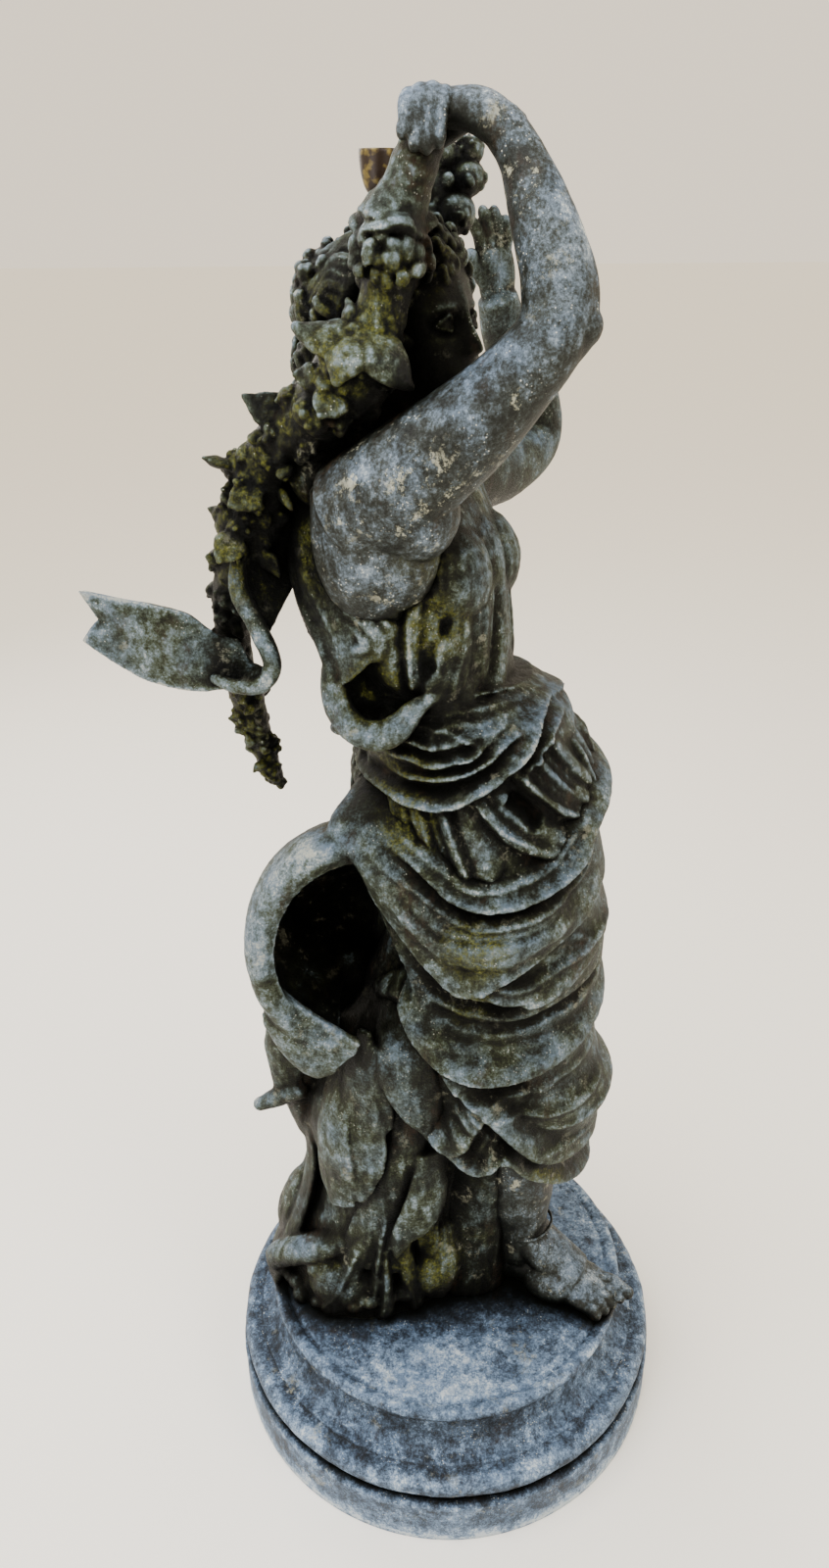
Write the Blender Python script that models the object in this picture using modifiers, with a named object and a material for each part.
import math

import bpy
import numpy as np

# Driving dimensions in metres, +Z up, origin at the centre of the plinth's underside
FIGURE_HEIGHT = 1.335     # plinth top to the raised hand
DRUM_RADIUS = 0.273       # plain foot of the plinth
DRUM_HEIGHT = 0.064
TORUS_RADIUS = 0.270      # outermost line of the big round moulding
TORUS_HEIGHT = 0.030
GROOVE = 0.004            # dark line under the round moulding
STEP_RADIUS = 0.246       # thin fillet above the round moulding
NECK_RADIUS = 0.220       # slim waist under the top slab
COVE_HEIGHT = 0.053       # hollow moulding from the fillet up to the slab
SLAB_RADIUS = 0.2285
SLAB_HEIGHT = 0.014
EDGE = 0.004              # small steps and rounded edges of the plinth
CUP_RADIUS = 0.0155
CUP_HEIGHT = 0.048
CUP_WALL = 0.0022
CUP_STEM_RADIUS = 0.0047
CUP_STEM_HEIGHT = 0.0144  # foot and stem together
CUP_FOOT_RADIUS = 0.0112
CUP_FOOT_HEIGHT = 0.0067
SEAT_MARGIN = 0.003       # flat of the crown beyond the cup
GAP = 0.0003              # clearance between touching pieces
VOXEL = 0.0062            # grain at which the casting is fused
FIGURE_TRIANGLES = 6800
PLINTH_STEPS = 44
CUP_STEPS = 16

PLINTH_HEIGHT = DRUM_HEIGHT + GROOVE + TORUS_HEIGHT + COVE_HEIGHT + SLAB_HEIGHT
SHARE = FIGURE_HEIGHT / 133.5       # the figure is laid out in these shares of its height
CUP_SEAT = np.array((-6.1, 0.4, 123.7))   # flat on the crown of the head, in shares
NEAR = np.array((0.0, -1.0, 0.0))   # her right-hand side
UP = np.array((0.0, 0.0, 1.0))


def spline(rows, steps):
    rows = np.asarray(rows, float)
    ends = np.vstack([2 * rows[0] - rows[1], rows, 2 * rows[-1] - rows[-2]])
    t = (np.arange(steps) / steps)[:, None]
    out = []
    for a, b, c, d in zip(ends, ends[1:], ends[2:], ends[3:]):
        out.append(0.5 * (2 * b + (c - a) * t + (2 * a - 5 * b + 4 * c - d) * t ** 2
                          + (3 * b - a - 3 * c + d) * t ** 3))
    return np.vstack(out + [rows[-1:]])


def place(shares):
    # From shares of the figure to metres in the part's frame
    return np.asarray(shares) * SHARE + UP * (PLINTH_HEIGHT + GAP)


def unit(v):
    return v / np.linalg.norm(v)


def closed(rings):
    # A closed skin over rings of equal count, with a pole at each end
    count = len(rings[0])
    points = np.vstack(list(rings) + [rings[0].mean(0)[None], rings[-1].mean(0)[None]])
    faces = []
    for i in range(len(rings) - 1):
        for j in range(count):
            k = (j + 1) % count
            faces.append((i * count + j, i * count + k, (i + 1) * count + k, (i + 1) * count + j))
    last = (len(rings) - 1) * count
    for j in range(count):
        k = (j + 1) % count
        faces.append((len(points) - 2, k, j))
        faces.append((len(points) - 1, last + j, last + k))
    return points, faces


def tube(rows, facing=None, steps=4, sides=12, levels=None):
    # rows: x, y, z, half width, half thickness; the thickness lies along facing, or away from the body
    rows = [tuple(r) if len(r) == 5 else tuple(r) + (r[3],) for r in rows]
    line = spline(rows, steps)
    centres, wide, thick = line[:, :3], np.abs(line[:, 3]), np.abs(line[:, 4])
    tangents = np.gradient(centres, axis=0)
    turn = np.linspace(0, 2 * math.pi, sides, endpoint=False)
    normal = np.array((0.3, 0.2, 1.0))
    rings = []
    for i in range(len(centres)):
        along = unit(tangents[i])
        base = normal if facing is None else np.asarray(facing, float)
        if levels is not None:
            base = centres[i] - (*section(levels, centres[i][2])[:2], centres[i][2])
        normal = unit(base - along * (base @ along))
        across = np.cross(along, normal)
        for cap in ((0.45, 0.8) if i == 0 else ()):
            ring = centres[i] - along * thick[i] * (1 - cap) * 0.9
            rings.append(ring + cap * (np.outer(np.cos(turn), across) * wide[i]
                                       + np.outer(np.sin(turn), normal) * thick[i]))
        rings.append(centres[i] + np.outer(np.cos(turn), across) * wide[i]
                     + np.outer(np.sin(turn), normal) * thick[i])
        for cap in ((0.8, 0.45) if i == len(centres) - 1 else ()):
            ring = centres[i] + along * thick[i] * (1 - cap) * 0.9
            rings.append(ring + cap * (np.outer(np.cos(turn), across) * wide[i]
                                       + np.outer(np.sin(turn), normal) * thick[i]))
    return closed(rings)


def sheet(rails, thickness, steps=4):
    # A thick cloth between rails, each a row of points x, y, z
    grid = np.array([spline(rail, steps) for rail in rails])
    grid = np.array([spline(grid[:, i], steps) for i in range(grid.shape[1])])
    down, across = np.gradient(grid, axis=0), np.gradient(grid, axis=1)
    normals = np.cross(down, across)
    normals /= np.linalg.norm(normals, axis=2, keepdims=True) + 1e-9
    rings = []
    for row, lift in zip(grid, normals * thickness / 2):
        rings.append(np.vstack([row + lift, (row - lift)[::-1]]))
    return closed(rings)


def ball(centre, radii, turn=0.0, tip=0.0, rings=8, sides=14):
    # An ellipsoid turned about Z by turn and tipped forwards by tip, in degrees
    a, b = math.radians(turn), math.radians(tip)
    spin = np.array(((math.cos(a), -math.sin(a), 0), (math.sin(a), math.cos(a), 0), (0, 0, 1)))
    lean = np.array(((math.cos(b), 0, math.sin(b)), (0, 1, 0), (-math.sin(b), 0, math.cos(b))))
    around = np.linspace(0, 2 * math.pi, sides, endpoint=False)
    out = []
    for up in np.linspace(-1, 1, rings + 2)[1:-1] * math.pi / 2:
        ring = np.stack([np.cos(around) * math.cos(up), np.sin(around) * math.cos(up),
                         np.full(sides, math.sin(up))], 1)
        out.append((ring * radii) @ lean.T @ spin.T + centre)
    return closed(out)


# Levels of the body: height, middle x and y, half depth, half width, turn in degrees
TRUNK = ((78, 1.2, 0, 8.2, 9.8, -16), (80, 0.4, 0, 7.6, 9.4, -17), (83, -1.6, 0, 7.9, 9.4, -19),
         (87.5, -3.0, 0, 8.8, 10.0, -21), (92, -4.0, 0, 9.3, 10.6, -22), (96.5, -4.4, 0, 8.8, 10.9, -22),
         (100.5, -4.6, 0, 7.2, 11.0, -20), (103.5, -4.8, 0.2, 5.6, 9.6, -18), (106, -4.9, 0, 3.8, 6.0, -16))
SKIRT = ((10, 9.0, -1.0, 6.5, 7.0, -10), (14, 7.6, -0.6, 9.2, 9.0, -10), (17, 6.8, -0.4, 10.8, 10.4, -10),
         (24, 5.4, 0, 10.8, 11.2, -8), (32, 5.6, 0, 13.2, 11.8, -6), (38, 4.8, 0, 12.4, 12, -6),
         (45, 4.6, 0, 12.0, 12.2, -6), (52, 4.6, 0, 12.6, 12.6, -6), (60, 3.8, 0, 12.6, 13.0, -8),
         (66, 3.1, 0, 12.5, 12.8, -10), (71, 3.0, 0, 12.1, 12.2, -12), (76, 2.6, 0, 11.0, 11.4, -15),
         (80, 1.4, 0, 9.8, 10.4, -17), (83, -1.4, 0, 8.0, 9.4, -19))
SKIRT_HEM = ((13, 5.6, -0.4, 10.2, 10.8, -8), (24, 5.4, 0, 11.0, 11.2, -8)) + SKIRT[4:]   # clear of the leg
HOLLOW = (-150, 55, 34, 9, 6.5)     # sink of the body behind the blown cloth
TRAIN = ((0, -9.6, -0.4, 12.0, 9.8, 14), (4, -9.2, -0.2, 11.0, 9.4, 14), (10, -7.8, 0, 10.2, 9.0, 10),
         (18, -6.4, 0, 9.2, 9.0, 5), (28, -6.0, 0, 11.4, 9.2, 0), (38, -4.2, 0, 9.6, 9.4, 0),
         (46, -1.6, 0.4, 8.0, 8.6, 0), (54, 0.4, 0.8, 6.6, 7.0, 0))


def section(levels, height):
    levels = np.asarray(levels, float)
    return [np.interp(height, levels[:, 0], levels[:, i]) for i in range(1, 6)]


def on_body(levels, angle, height, out=0.0):
    # A place on the body: angle 0 looks forwards, -90 to her right side, 180 to her back
    x, y, deep, wide, turn = section(levels, height)
    a, t = math.radians(angle), math.radians(turn)
    px, py = (deep + out) * math.cos(a), (wide + out) * math.sin(a)
    return (x + px * math.cos(t) - py * math.sin(t), y + px * math.sin(t) + py * math.cos(t), height)


def stack(levels, steps=3, sides=36, above=0.0, dent=None):
    # dent: its angle and height, how far it spreads in each, and its depth
    fine = spline(levels, steps)
    fine = fine[fine[:, 0] >= above]
    angles = np.linspace(-180, 180, sides, endpoint=False)
    rings = []
    for z in fine[:, 0]:
        sink = 0 * angles
        if dent:
            away = (angles - dent[0] + 180) % 360 - 180
            sink = dent[4] * np.exp(-(away / dent[2]) ** 2 - ((z - dent[1]) / dent[3]) ** 2)
        rings.append(np.array([on_body(fine, a, z, -s) for a, s in zip(angles, sink)]))
    return closed(rings)


# The head: its middle, and the way it looks
HEAD = np.array((-4.9, -1.5, 114.2))
HEAD_TURN, HEAD_TIP = -36, 10
SKULL = np.array((6.4, 5.8, 5.6))      # half length, half width and half height under the hair


def on_head(front, left, up):
    a, b = math.radians(HEAD_TURN), math.radians(HEAD_TIP)
    x, z = front * math.cos(b) + up * math.sin(b), up * math.cos(b) - front * math.sin(b)
    return tuple(HEAD + (x * math.cos(a) - left * math.sin(a), x * math.sin(a) + left * math.cos(a), z))


def head_ball(front, left, up, radii):
    return ball(on_head(front, left, up), radii, HEAD_TURN, HEAD_TIP)


def head():
    return [tube([(-4.6, 0.2, 101, 5.0), (-4.4, -0.2, 105.5, 3.9), (-4.6, -0.8, 110, 3.8)]),
            head_ball(-0.4, 0, 1.6, (7.2, 5.8, 6.2)), head_ball(2.8, 0, -2.4, (4.9, 4.6, 5.6)),
            head_ball(5.4, 0, -6.0, (1.9, 1.8, 1.7)),
            tube([on_head(6.9, 0, 1.2) + (0.7,), on_head(7.8, 0, -0.6) + (0.8,),
                  on_head(8.4, 0, -2.0) + (0.95,)], steps=3)]


def lock(start, end, lift, size, bend=0.0):
    # A lock of hair over the skull between two directions, given as angle round the head and angle up
    rows = []
    for t in (0, 0.25, 0.5, 0.75, 1):
        around = math.radians(start[0] + (end[0] - start[0]) * t + bend * math.sin(2 * math.pi * t))
        up = math.radians(start[1] + (end[1] - start[1]) * t)
        out = (SKULL + lift) * (math.cos(around) * math.cos(up), math.sin(around) * math.cos(up),
                                math.sin(up))
        rows.append(on_head(out[0] - 0.9, out[1], out[2] + 1.9) + (size * (0.6 if t in (0, 1) else 1.0),))
    return tube(rows, sides=8)


def hair():
    # A rest for the cup on the crown, the knot at the back, locks swept back, curls over the brow
    rest = (CUP_RADIUS + SEAT_MARGIN) / SHARE + 0.3
    shells = [tube([(*(CUP_SEAT - UP * 3), rest + 0.4), (*(CUP_SEAT + UP * 0.4), rest)]),
              head_ball(-1.2, 0, 2.0, (6.6, 6.1, 5.8)),
              ball((-9.2, 1.0, 115.2), (3.7, 4.2, 4.2)), ball((-10.4, 1.2, 111.4), (3.2, 4.0, 3.6)),
              ball((-10.6, 1.0, 107.6), (2.8, 3.8, 4.0))]
    for side in (-1, 1):
        for i in range(7):
            swept = (side * (22 + 9 * i), 62 - 11 * i), (side * (165 - 6 * i), 30 - 12 * i)
            brow = (side * (14 + 12 * i), 30 - 9 * i), (side * (30 + 12 * i), 44 - 11 * i)
            shells += [lock(*swept, 0.2, 1.15, 9), lock(*brow, 0.6, 1.0, 20)]
    for left, up, size in ((-4.6, 4.6, 1.5), (-3.0, 6.2, 1.7), (-1.0, 6.8, 1.8), (1.2, 6.9, 1.8),
                           (3.2, 6.2, 1.7),
                           (4.8, 4.6, 1.5), (-5.6, 2.4, 1.3), (5.6, 2.4, 1.3), (3.2, 8.0, 1.7),
                           (0.4, 8.4, 1.7)):
        shells.append(head_ball(5.6 - 0.12 * left * left, left, up, (size * 1.1, size, size * 0.9)))
    for i in range(9):
        a = math.radians(40 * i)
        shells.append(tube([(-9.4 + 2.6 * math.cos(a), 1.0 + 3.4 * math.sin(a), 117.6, 1.1),
                            (-10.3 + 3.5 * math.cos(a + 0.5), 1.0 + 4.2 * math.sin(a + 0.5), 113.0, 1.2),
                            (-10.6 + 2.9 * math.cos(a + 0.9), 1.0 + 3.8 * math.sin(a + 0.9), 107.8, 1.0)],
                            sides=8))
    return shells


RIGHT_ARM = ((-7.6, -9.6, 101.2, 5.0), (-4.2, -11.8, 104.0, 4.7), (1.2, -13.0, 107.9, 4.1),
             (5.8, -13.8, 112.0, 3.65), (8.2, -14, 115.6, 3.2), (7.9, -13.4, 119.4, 3.0),
             (6.5, -12.3, 123.8, 2.4), (4.7, -11.0, 127.8, 1.95), (2.6, -9.8, 130.3, 1.9))
LEFT_ARM = ((-2.0, 8.0, 101.0, 4.8), (1.4, 13.0, 100.2, 4.5), (5.4, 19.2, 99.6, 3.9),
            (9.0, 25.0, 101.2, 3.3), (8.6, 25.0, 106.0, 3.1), (6.0, 23.4, 111.6, 2.6),
            (4.8, 22.2, 115.8, 2.1))


def arms():
    shells = [tube(RIGHT_ARM, sides=14), tube(LEFT_ARM, sides=14)]
    shells.append(tube([(2.6, -9.8, 130.4, 1.9, 1.5), (0.4, -8.6, 131.3, 2.2, 1.4),
                        (-1.8, -7.8, 131.2, 2.3, 1.4),
                        (-3.0, -7.8, 130.2, 2.0, 1.2)], facing=(0, 0, 1)))
    for i in range(4):
        y = -6.2 - 1.25 * i
        shells.append(tube([(-2.0, y, 131.6, 0.8), (-3.3, y, 130.8, 0.78), (-3.6, y - 0.3, 129.2, 0.7),
                            (-2.8, y - 0.6, 128.0, 0.6)], steps=3, sides=8))
    shells.append(tube([(0.8, -10.4, 130.2, 0.9), (-0.6, -11.2, 129.2, 0.8), (-1.6, -11.0, 128.3, 0.7)],
                       sides=8))
    shells.append(tube([(5.4, 22.4, 115.6, 1.9, 1.3), (4.8, 22.0, 118.2, 2.1, 1.1),
                        (4.4, 21.8, 120.4, 1.9, 0.9)],
                       facing=(0.5, -1, 0)))
    for i, lean in enumerate((-0.9, -0.3, 0.3, 0.9)):
        side = np.array((0.85, 0.42, 0.0)) * lean
        base, tip = np.array((4.5, 21.8, 119.8)) + side * 1.4, np.array((3.9, 21.0, 124.2)) + side * 2.4
        tip[2] -= abs(lean) * 1.2
        shells.append(tube([tuple(base) + (0.72,), tuple((base + tip) / 2) + (0.68,), tuple(tip) + (0.5,)],
                           steps=3, sides=8))
    return shells


def foot():
    heel, toe = np.array((8.4, -1.9, 0)), np.array((21.2, -8.4, 0))
    along = unit(toe - heel)
    across = np.cross(UP, along)
    spot = lambda s, left, z: tuple(heel + along * s + across * left + UP * z)
    shells = [tube([(8.6, -1.0, 30, 5.2), (9.2, -1.2, 22, 4.6), (9.8, -1.6, 14, 3.8), (9.8, -2.0, 9.0, 3.2),
                    (9.8, -2.4, 4.4, 3.0)]),
              tube([spot(0.0, 0, 2.4) + (2.6, 2.4), spot(3.0, 0, 3.0) + (2.9, 3.0),
                    spot(7.0, 0.2, 2.6) + (3.2, 2.6),
                    spot(10.4, 0.3, 1.8) + (3.5, 1.8), spot(12.6, 0.3, 1.3) + (3.2, 1.2)], facing=UP),
              tube([spot(2.2, 0, 7.8) + (3.0, 2.6), spot(5.0, 0.3, 5.4) + (3.2, 2.5),
                    spot(9.0, 0.4, 3.1) + (3.1, 1.9)], facing=UP),
              ball(spot(6.2, -1.4, 2.6), (3.8, 2.8, 2.6), -26), ball(spot(0.2, 0, 2.4), (3.0, 2.8, 2.8))]
    for i in range(5):
        side = 2.5 - 1.22 * i
        reach = 15.4 - 0.55 * i
        shells.append(tube([spot(11.0, side * 0.92, 1.3) + (0.95,), spot(13.4, side, 1.5) + (0.85,),
                            spot(reach, side, 0.9) + (0.75,)], steps=3, sides=8))
    return shells


# Heights of the mantle's folds at these angles round the body, from its upper edge to its hem
FOLD_ANGLES = (-130, -115, -100, -85, -65, -45, -20, 10, 50)
MANTLE = ((70.0, 69.8, 67.0, 65.0, 65.0, 67.2, 71.2, 73.5, 74.5),
          (65.5, 62.5, 59.5, 59.4, 61.0, 64.2, 68.0, 70.5, 72.0),
          (55.2, 53.2, 53.0, 55.4, 57.8, 60.2, 63.2, 66.0, 68.0),
          (51.2, 49.2, 47.9, 47.9, 49.0, 51.0, 54.0, 56.0, 57.5),
          (48.4, 44.6, 42.6, 42.1, 42.3, 43.1, 44.2, 44.0, 43.0),
          (43.5, 41.0, 39.2, 36.8, 35.5, 36.0, 36.8, 37.0, 36.0),
          (41.0, 37.7, 35.3, 32.8, 29.6, 27.0, 25.0, 24.0, 24.0),
          (41.0, 30.2, 27.2, 26.3, 26.6, 22.4, 18.0, 15.5, 15.5))
FOLD_SIZES = ((1.9, 1.8), (1.9, 1.5), (1.8, 1.6), (1.6, 1.5), (1.9, 1.9), (1.5, 1.3), (1.5, 1.3), (1.2, 1.2))
SASH = ((81.0, 81.1, 81.4, 81.8, 82.3, 82.6, 82.5, 82.0, 81.6),
        (78.0, 78.2, 78.7, 79.3, 80.1, 80.8, 81.5, 81.4, 80.2),
        (74.0, 74.1, 74.6, 75.3, 76.3, 77.6, 79.2, 80.4, 79.0))


def fold(heights, wide, thick, out=0.0, first=0, last=None, levels=SKIRT):
    # A fold that lies on the body through these heights, thinner at its ends
    spots = list(zip(FOLD_ANGLES, heights))[first:last]
    rows = []
    for i, (angle, height) in enumerate(spots):
        slim = 0.55 if i in (0, len(spots) - 1) else 1.0
        rows.append(on_body(levels, angle, height, out) + (wide * slim, thick * slim))
    return tube(rows, levels=levels)


def between(a, b, share):
    return [x + (y - x) * share for x, y in zip(a, b)]


def mantle():
    # The catenary folds with a lesser one between each pair, the folds of the back, the hem, the hood
    shells = []
    for i, (wide, thick) in enumerate(FOLD_SIZES):
        shells.append(fold(MANTLE[i], wide, thick, 0.5, 1 if i in (2, 3) else 0, levels=SKIRT_HEM))
    for upper, lower in zip(MANTLE, MANTLE[1:]):
        shells.append(fold(between(upper, lower, 0.5), 1.0, 0.9, 0.4, first=2))
    back = [(angle, 72 - 2.5 * math.sin(math.radians(angle))) for angle in range(50, 231, 20)]
    for i, (drop, rise) in enumerate(((0, 0), (5, 5), (11, 10), (18, 14), (26, 18), (34, 22), (42, 24),
                                      (50, 22))):
        rows = []
        size = 1.5 - 0.5 * (i % 2)
        for a, h in back:
            share = (a - 50) / 180
            sag = drop - rise * share ** 1.5 + 5 * math.sin(math.pi * share)
            rows.append(on_body(SKIRT, a, h - sag, 0.3) + (size, size - 0.2))
        shells.append(tube(rows, levels=SKIRT))
    turns = FOLD_ANGLES + (90, 130, 170, 200, 230)
    edge = [row + far for row, far in ((MANTLE[5], (34, 32, 32, 36, 41)), (MANTLE[6], (23, 24, 28, 33, 39)),
                                       (MANTLE[7], (14.5, 16, 22, 29, 37)))]
    shells.append(sheet([[on_body(SKIRT_HEM, a, h, 0.2) for a, h in zip(turns, row)] for row in edge], 1.5))
    hood = ((-11.0, -9.6, 70.2, 1.2, 1.4), (-7.6, -11.0, 67.6, 2.4, 1.4), (-4.4, -11.9, 64.0, 4.0, 1.5),
            (-1.8, -12.6, 60.0, 5.6, 1.6), (3.0, -13.0, 59.0, 5.0, 1.4), (8.0, -12.4, 60.8, 3.4, 1.2))
    shells.append(tube(hood, levels=SKIRT))
    return shells


# The blown end of the mantle: the middle of its round, and how far it reaches from there
CURL = (-9.2, 55.8)
CURL_REACH = (11.8, 14.1)
CURL_RAILS = ((0.70, 0.72, -9.0), (0.86, 0.88, -9.8), (0.95, 0.94, -7.8), (0.95, 0.80, -2.0),
              (0.80, 0.58, 4.0),
              (0.50, 0.42, 7.0))   # reach along x, reach along z, place along y


def curl():
    rails = []
    for reach_x, reach_z, y in CURL_RAILS:
        rail = []
        for a in range(75, 256, 20):
            t = math.radians(a)
            rail.append((CURL[0] + CURL_REACH[0] * reach_x * math.cos(t), y + 1.5 * math.cos(t),
                         CURL[1] + CURL_REACH[1] * reach_z * math.sin(t)))
        rails.append(rail)
    flap = (((-18.2, -10.0, 52.0), (-15.2, -10.8, 49.4), (-12.0, -11.2, 47.2), (-9.2, -11.4, 45.6)),
            ((-19.4, -10.0, 48.4), (-16.8, -11.2, 46.4), (-13.4, -11.6, 44.8), (-10.0, -11.4, 44.4)),
            ((-19.8, -8.6, 46.4), (-17.2, -10.0, 43.6), (-14.4, -10.6, 42.0), (-11.6, -10.6, 42.6)))
    return [sheet(rails, 1.3), sheet(flap, 1.2), ball((-5.6, 5.2, 55.0), (8.8, 3.6, 9.6)),
            ball((-3.0, 2.0, 52.0), (6.0, 5.0, 12.0)), ball((-8.0, 1.5, 62.5), (5.0, 4.0, 3.6)),
            ball((-9.6, 2.4, 48.0), (5.6, 3.4, 6.0)), ball((-11.2, 0.2, 45.0), (4.0, 3.0, 5.0)),
            tube([(-16.5, -4, 44, 3.2, 2.2), (-18.0, -3, 38, 3.2, 2.0), (-18.6, -2.6, 31, 2.0, 1.4)],
                 facing=NEAR),
            tube([(-17.0, -3.6, 32.0, 1.4), (-20.0, -3.4, 30.2, 1.2), (-22.6, -3.2, 28.6, 0.8)], sides=8)]


def sash():
    shells = []
    for i, (wide, thick) in enumerate(((0.9, 0.9), (1.3, 0.9), (0.9, 1.1))):
        shells.append(fold(SASH[i], wide, thick, 0.6))
        fall = (SASH[i][-1] - SASH[i][0]) / 180
        around = [on_body(SKIRT, a, SASH[i][-1] - (a - 50) * fall, 0.5) + (wide, thick)
                  for a in range(50, 231, 20)]
        shells.append(tube(around, levels=SKIRT))
    for share in (0.3, 0.7):
        shells.append(fold(between(SASH[0], SASH[1], share), 0.6, 0.5, 0.6))
        shells.append(fold(between(SASH[1], SASH[2], share), 0.7, 0.6, 0.6))
    for i in range(9):
        top, low = -128 + 13.6 * i, -120 + 10.4 * i
        high = np.interp(top, FOLD_ANGLES, SASH[2]) - 0.4
        foot_height = np.interp(low, FOLD_ANGLES, MANTLE[0]) + 0.6
        rows = [on_body(SKIRT, top + (low - top) * t, high + (foot_height - high) * t, 0.4 + 0.5 * t)
                + (0.75 + 0.4 * t, 0.7) for t in (0, 0.33, 0.67, 1)]
        shells.append(tube(rows, levels=SKIRT, sides=8))
    return shells


def bodice():
    rim = [(a, z) for a, z in ((-140, 104.0), (-129, 101.6), (-110, 98.6), (-97, 95.6), (-83, 94.0),
                               (-68, 93.8),
                               (-53, 95.2), (-42, 98.0), (-34, 102.0))]
    shells = [tube([on_body(TRUNK, a, z, 0.3) + (0.9, 0.9) for a, z in rim], levels=TRUNK, sides=8)]
    shells.append(tube([(-13.2, -4.2, 101.4, 1.2), (-14.0, -3.6, 97.0, 1.3), (-13.6, -4.4, 92.6, 1.5),
                        (-12.4, -5.8, 88.8, 1.7), (-10.6, -7.4, 86.2, 1.6), (-8.0, -9.2, 85.6, 1.2)]))
    shells.append(tube([(-11.2, -4.2, 90.0, 1.5), (-10.6, -5.6, 85.4, 1.4), (-9.8, -7.4, 82.0, 1.5),
                        (-8.2, -9.2, 80.4, 1.6), (-6.0, -10.6, 79.8, 1.6), (-3.8, -11.0, 80.8, 1.5),
                        (-2.8, -10.8, 83.4, 1.3), (-3.0, -10.6, 87.4, 1.2), (-3.4, -10.8, 91.0, 1.1),
                        (-4.8, -11.0, 93.6, 0.9)]))
    shells.append(ball(on_body(TRUNK, -34, 94.6, -3.0), (5.0, 4.6, 4.9), -22))
    shells.append(ball(on_body(TRUNK, 28, 94.2, -3.2), (4.8, 4.4, 4.8), -22))
    for i in range(6):
        top, low = -44 + 17 * i, -50 + 14 * i
        rows = [on_body(TRUNK, top + (low - top) * t, 97.5 - 14.5 * t - 2.0 * abs(i - 2.5) * (1 - t), 0.15)
                + (0.8, 0.55) for t in (0, 0.33, 0.67, 1)]
        shells.append(tube(rows, levels=TRUNK, sides=8))
    for i in range(5):
        angle = 75 + 34 * i
        rows = [on_body(TRUNK, angle + 5 * math.sin(3 * t + i), 100 - 17 * t, 0.2) + (1.1, 0.7)
                for t in (0, 0.33, 0.67, 1)]
        shells.append(tube(rows, levels=TRUNK, sides=8))
    return shells


def train():
    shells = []
    columns = (((-172, 41), (-150, 31), (-144, 22), (-139, 14)),
               ((-144, 46), (-132, 34), (-129, 24), (-128, 15)),
               ((-128, 47), (-116, 36), (-107, 25), (-104, 14)),
               ((-112, 47), (-98, 38), (-84, 30), (-74, 22)))
    for column in columns:
        rows = [on_body(TRAIN, a, z, 0.4) + (1.3 + 0.3 * i, 1.3) for i, (a, z) in enumerate(column)]
        shells.append(tube(rows, levels=TRAIN, sides=10))
    for i in range(9):
        angle = -35 + 24 * i
        rows = [on_body(TRAIN, angle + 7 * math.sin(2.2 * t + i), 36 * (1 - t), 0.3 + 1.0 * t) + (1.5, 1.2)
                for t in (0, 0.33, 0.67, 1)]
        shells.append(tube(rows, levels=TRAIN, sides=10))
    shells.append(tube([(-1.2, -9.0, 26, 1.4, 0.9), (-1.6, -9.6, 20, 1.8, 1.0), (-3.6, -9.8, 13, 1.5, 0.9),
                        (-5.6, -10.2, 8.0, 0.9, 0.7)], facing=NEAR))
    shells.append(tube([(-5.0, -6.5, 12, 2.0), (-7.2, -8.6, 6.0, 2.0), (-8.8, -9.6, 1.4, 1.3)]))
    shells.append(tube([(-11.5, -6.8, 10, 1.8), (-15.5, -6.8, 8.0, 1.9), (-19.4, -5.2, 5.6, 1.9),
                        (-22.0, -3.8, 3.4, 1.6)]))
    shells.append(tube([(-12, 0.6, 16, 2.6), (-16.4, 0.6, 12.2, 3.2), (-18.4, 1.0, 7.6, 3.6),
                        (-18.6, 1.2, 3.4, 3.4)]))
    shells.append(tube([(-14.0, -2.0, 39, 2.6), (-17.4, -1.4, 31, 2.4), (-16.4, -1.0, 25, 2.2),
                        (-14.0, -0.6, 19, 1.8)]))
    shells.append(tube([(-1.0, -5.0, 12, 2.2), (-0.4, -6.2, 6.0, 2.4), (-1.4, -6.6, 1.6, 1.8)]))
    return shells


def ribbon():
    web = (((-18.2, -5.0, 99.6), (-18.8, -5.6, 96.4), (-18.6, -6.4, 93.4), (-17.4, -7.0, 90.6),
            (-17.2, -7.6, 88.0)),
           ((-15.6, -4.0, 99.6), (-15.8, -4.4, 97.0), (-15.9, -4.8, 94.8), (-16.0, -5.6, 92.2),
            (-16.6, -6.6, 90.0)),
           ((-12.6, -3.0, 99.6), (-12.8, -3.2, 97.4), (-13.2, -3.4, 96.0), (-14.2, -4.2, 94.4),
            (-15.8, -5.4, 92.0)))
    edge = ((-17.6, -5.6, 100.0, 0.7), (-18.9, -6.0, 96.4, 0.9), (-19.0, -6.8, 93.4, 1.0),
            (-17.4, -7.8, 90.2, 1.0),
            (-16.2, -8.4, 87.2, 1.0), (-17.2, -8.6, 85.2, 0.9), (-19.6, -8.4, 84.8, 0.8),
            (-22.0, -7.6, 85.4, 0.6))
    tail = (((-16.6, -8.0, 86.2), (-20.2, -7.6, 84.4), (-24.2, -6.8, 83.8), (-29.0, -6.4, 85.0),
             (-34.2, -6.2, 88.6)),
            ((-18.4, -6.6, 86.2), (-20.8, -6.4, 85.6), (-24.2, -6.6, 86.8), (-28.2, -6.8, 88.6),
             (-31.2, -6.4, 90.4)),
            ((-20.0, -5.0, 88.2), (-21.8, -5.4, 88.8), (-24.2, -5.8, 91.0), (-28.2, -6.2, 92.2),
             (-33.8, -6.4, 93.4)))
    return [sheet(web, 1.1), tube(edge, sides=8), sheet(tail, 1.1)]


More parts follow.
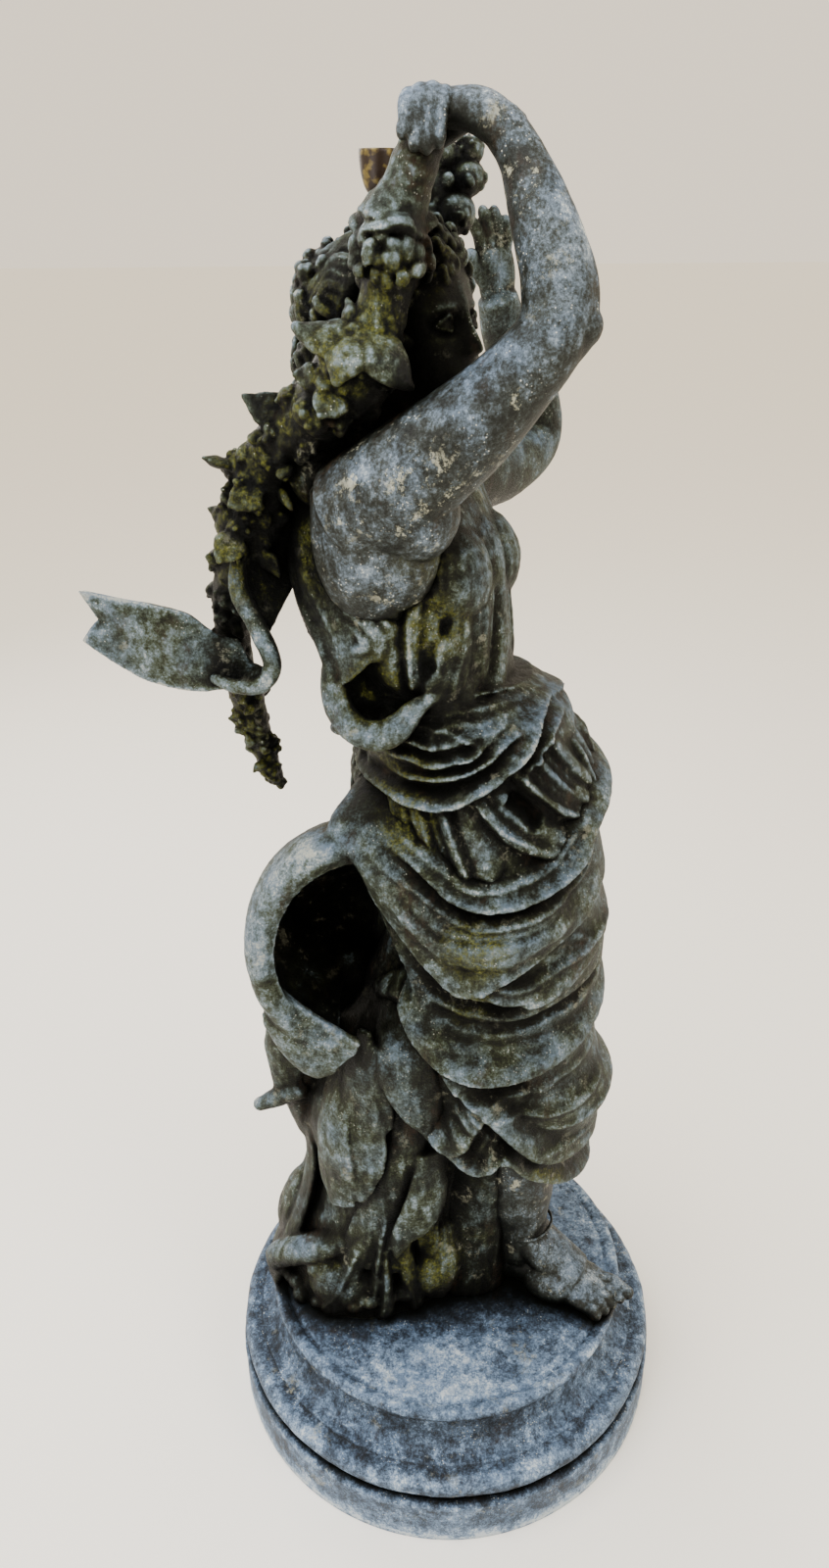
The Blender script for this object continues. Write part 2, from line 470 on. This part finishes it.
GARLAND = ((-1.8, -9.6, 129.4, 1.5), (-2.8, -9.6, 127.0, 1.75), (-3.6, -9.4, 124.4, 1.6),
           (-4.2, -9.4, 122.6, 2.4),
           (-4.6, -9.2, 120.4, 2.9), (-5.2, -9.4, 118.0, 2.1), (-6.0, -9.6, 115.6, 2.3),
           (-7.4, -9.6, 113.0, 3.4),
           (-9.4, -8.8, 110.6, 3.7), (-12.2, -7.0, 108.0, 3.2), (-15.2, -5.4, 105.6, 2.9),
           (-17.2, -4.2, 102.0, 3.4),
           (-18.0, -3.4, 98.0, 3.7), (-19.6, -3.0, 94.0, 3.0), (-20.8, -2.6, 90.0, 2.3),
           (-20.7, -2.0, 85.4, 2.0),
           (-20.2, -1.2, 80.8, 2.2), (-19.5, -0.8, 76.6, 1.9), (-18.5, -0.4, 73.0, 1.4),
           (-17.5, -0.2, 70.0, 0.5))


def garland():
    rng = np.random.default_rng(7)
    shells = [tube(GARLAND, sides=12)]
    line = spline(GARLAND, 6)
    for spot in line[16:]:
        for _ in range(2):
            lean = unit(rng.normal(size=3) + NEAR * 0.6)
            size = 0.28 * spot[3] + 0.35
            shells.append(ball(spot[:3] + lean * spot[3] * 0.95, (size, size, size), sides=8, rings=5))
    collar = np.array((-6.6, -9.8, 114.4))
    for a in range(0, 360, 60):
        lean = np.array((math.cos(math.radians(a)), math.sin(math.radians(a)) / 2,
                         math.sin(math.radians(a)) / 4))
        leaf = ((0.5, 1.4, 0.7), (3.0, 1.5, 0.7), (5.0, 0.5, 0.4))
        shells.append(tube([(*(collar + lean * r), wide, thick) for r, wide, thick in leaf], facing=UP,
                           sides=8))
    for a in range(0, 360, 72):
        lean = np.array((math.cos(math.radians(a)), math.sin(math.radians(a)), 0.0))
        shells.append(ball(np.array((-4.2, -9.4, 122.8)) + lean * 2.2, (1.5, 1.5, 0.7), sides=8, rings=5))
        shells.append(ball(np.array((-4.6, -9.3, 120.0)) + lean * 2.0, (1.5, 1.5, 1.5), sides=8, rings=5))
    spike = ((-12.0, -6.8, 107.4, 1.8), (-14.8, -6.4, 108.4, 1.4), (-17.4, -6.0, 109.8, 0.7))
    shells.append(tube(spike, sides=8))
    return shells


def crest():
    # Flowers above the brow
    shells = []
    for x, y, z, size in ((-2.4, 1.0, 122.6, 2.6), (0.2, 1.6, 123.8, 2.2), (-1.4, 2.0, 125.6, 2.2),
                          (1.4, 2.2, 126.6, 1.9), (-0.6, 2.4, 128.0, 1.9), (1.6, 2.6, 128.8, 1.3)):
        shells.append(ball((x, y, z), (size, size, size * 0.8), sides=10, rings=6))
    return shells


def screw(name, profile, steps, metal, collection, spot=(0, 0, 0)):
    # A turned piece: profile points x, z run down its outer side
    mesh = bpy.data.meshes.new(name)
    count = len(profile)
    mesh.from_pydata([(x, 0, z) for x, z in profile], [(i, i + 1) for i in range(count - 1)], [])
    piece = bpy.data.objects.new(name, mesh)
    collection.objects.link(piece)
    piece.location = spot
    turn = piece.modifiers.new("turn", "SCREW")
    turn.steps = turn.render_steps = steps
    turn.use_merge_vertices = True
    turn.merge_threshold = 0.00005
    turn.use_smooth_shade = True
    mesh.materials.append(metal)
    return piece


def arc(x, z, radius, start, end, count):
    return [(x + radius * math.cos(math.radians(a)), z + radius * math.sin(math.radians(a)))
            for a in np.linspace(start, end, count)]


def plinth_profile():
    slab_base = PLINTH_HEIGHT - SLAB_HEIGHT
    torus_base = DRUM_HEIGHT + GROOVE
    torus_top = torus_base + TORUS_HEIGHT
    torus_round, slab_round = TORUS_HEIGHT / 2, SLAB_HEIGHT / 2
    cove_top, cove_base = slab_base - EDGE, torus_top + EDGE
    cove = [(NECK_RADIUS + (STEP_RADIUS - NECK_RADIUS) * (1 - math.cos(a)),
             cove_top - (cove_top - cove_base) * math.sin(a)) for a in np.linspace(0, math.pi / 2, 6)]
    groove_radius = TORUS_RADIUS - torus_round
    return ([(0, PLINTH_HEIGHT)]
            + arc(SLAB_RADIUS - slab_round, PLINTH_HEIGHT - slab_round, slab_round, 90, -90, 6)
            + [(NECK_RADIUS + EDGE / 2, slab_base)] + cove + [(STEP_RADIUS, torus_top)]
            + arc(groove_radius, torus_base + torus_round, torus_round, 80, -80, 6)
            + [(groove_radius, torus_base), (groove_radius, DRUM_HEIGHT), (DRUM_RADIUS - EDGE, DRUM_HEIGHT),
               (DRUM_RADIUS, DRUM_HEIGHT - EDGE), (DRUM_RADIUS, 0), (0, 0)])


def material(name, colour, metallic, roughness):
    made = bpy.data.materials.new(name)
    made.use_nodes = True
    shader = made.node_tree.nodes["Principled BSDF"]
    shader.inputs["Base Color"].default_value = (*colour, 1)
    shader.inputs["Metallic"].default_value = metallic
    shader.inputs["Roughness"].default_value = roughness
    return made


def cup(collection, brass):
    # Small wine cup; its foot stands on the crown of the head
    bowl = [(CUP_STEM_RADIUS + (CUP_RADIUS - CUP_STEM_RADIUS) * math.sin(a),
             CUP_STEM_HEIGHT + (CUP_HEIGHT - CUP_STEM_HEIGHT) * (1 - math.cos(a)))
            for a in np.linspace(0, math.pi / 2, 6)]
    inside = [(x - CUP_WALL, z + CUP_WALL * (1 - i / 5)) for i, (x, z) in enumerate(bowl)]
    outline = ([(0, CUP_STEM_HEIGHT + CUP_WALL)] + inside + bowl[::-1]
               + [(CUP_STEM_RADIUS, CUP_FOOT_HEIGHT), (CUP_FOOT_RADIUS, CUP_FOOT_HEIGHT * 0.7),
                  (CUP_FOOT_RADIUS, 0), (0, 0)])
    return screw("brass_cup", outline, CUP_STEPS, brass, collection, place(CUP_SEAT) + UP * GAP)


def cutter(name, tool, collection):
    tool.name = name
    for home in list(tool.users_collection):
        home.objects.unlink(tool)
    collection.objects.link(tool)
    tool.hide_render = True
    tool.display_type = "WIRE"
    return tool


def ground_cut(collection):
    # All that hangs below the top of the plinth
    wide, deep = 2 * DRUM_RADIUS + FIGURE_HEIGHT, PLINTH_HEIGHT
    bpy.ops.mesh.primitive_cube_add(size=1, location=(0, 0, PLINTH_HEIGHT + GAP - deep / 2),
                                    scale=(wide, wide, deep))
    return cutter("ground_cut", bpy.context.object, collection)


def seat_cut(collection):
    # The room over the flat that the cup stands on
    bpy.ops.mesh.primitive_cylinder_add(vertices=20, radius=CUP_RADIUS + SEAT_MARGIN, depth=2 * CUP_HEIGHT,
                                        location=place(CUP_SEAT) + UP * CUP_HEIGHT)
    return cutter("seat_cut", bpy.context.object, collection)


def figure(collection, metal):
    shells = ([stack(TRUNK), stack(SKIRT, above=27, dent=HOLLOW),
               stack(TRAIN)] + head() + hair() + arms() + foot()
              + mantle() + curl() + sash() + bodice() + train() + ribbon() + garland() + crest())
    points, faces, start = [], [], 0
    for shell_points, shell_faces in shells:
        points.append(shell_points)
        faces += [tuple(start + i for i in face) for face in shell_faces]
        start += len(shell_points)
    points = place(np.vstack(points))
    mesh = bpy.data.meshes.new("goddess_figure")
    mesh.from_pydata(points.tolist(), [], faces)
    piece = bpy.data.objects.new("goddess_figure", mesh)
    collection.objects.link(piece)
    mesh.materials.append(metal)
    fuse = piece.modifiers.new("fuse", "REMESH")
    fuse.mode = "VOXEL"
    fuse.voxel_size = VOXEL
    soften = piece.modifiers.new("soften", "SMOOTH")
    soften.factor = 0.5
    soften.iterations = 2
    fused = piece.evaluated_get(bpy.context.evaluated_depsgraph_get()).data
    fused.calc_loop_triangles()
    facet = piece.modifiers.new("facet", "DECIMATE")
    facet.ratio = FIGURE_TRIANGLES / len(fused.loop_triangles)
    return piece


def cut(piece, tool):
    trim = piece.modifiers.new(tool.name, "BOOLEAN")
    trim.operation = "DIFFERENCE"
    trim.solver = "EXACT"
    trim.object = tool


def main():
    for old in list(bpy.data.objects):
        bpy.data.objects.remove(old, do_unlink=True)
    statue = bpy.data.collections.new("goddess_statue")
    bpy.context.scene.collection.children.link(statue)
    tools = bpy.data.collections.new("cutters")
    bpy.context.scene.collection.children.link(tools)
    goddess = figure(statue, material("weathered grey iron", (0.16, 0.19, 0.22), 0.6, 0.6))
    cut(goddess, ground_cut(tools))
    cut(goddess, seat_cut(tools))
    blue = material("weathered blue iron", (0.18, 0.22, 0.28), 0.6, 0.6)
    screw("plinth", plinth_profile(), PLINTH_STEPS, blue, statue)
    cup(statue, material("dull brass", (0.2, 0.13, 0.05), 0.8, 0.5))


main()
